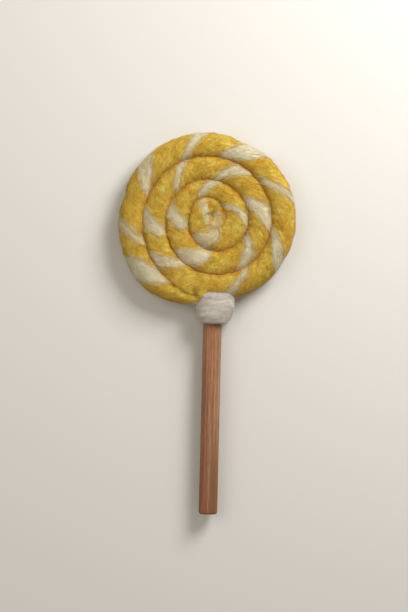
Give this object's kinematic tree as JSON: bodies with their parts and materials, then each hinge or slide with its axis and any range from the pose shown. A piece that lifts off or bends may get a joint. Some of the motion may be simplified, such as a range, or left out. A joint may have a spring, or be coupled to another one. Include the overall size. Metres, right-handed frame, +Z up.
{
  "type": "felt lollipop toy",
  "caption": "Toy lollipop of felted wool: a flat coil of twisted yellow and cream rope on a wooden dowel with a white wool collar, lying on its back.",
  "frame": {"origin": "on the floor, under the middle of the part's box as it lies on its back", "axes": "+Z up, out of the coil's face; -Y along the dowel to its foot; +X to the right as the face is seen with the dowel pointing down"},
  "size_m": [0.0746, 0.1622, 0.0131],
  "materials": {
    "yellow_wool": "matt felted wool with fine loose fibres",
    "cream_wool": "matt felted wool with fine loose fibres",
    "white_wool": "matt wool wrapped round and round, lightly felted",
    "dowel_wood": "bare sanded wood with fine grain along the stick"
  },
  "bodies": {
    "root": {"yellow_strand": "yellow_wool", "cream_strand": "cream_wool", "collar": "white_wool", "dowel": "dowel_wood"}
  },
  "joints": []
}
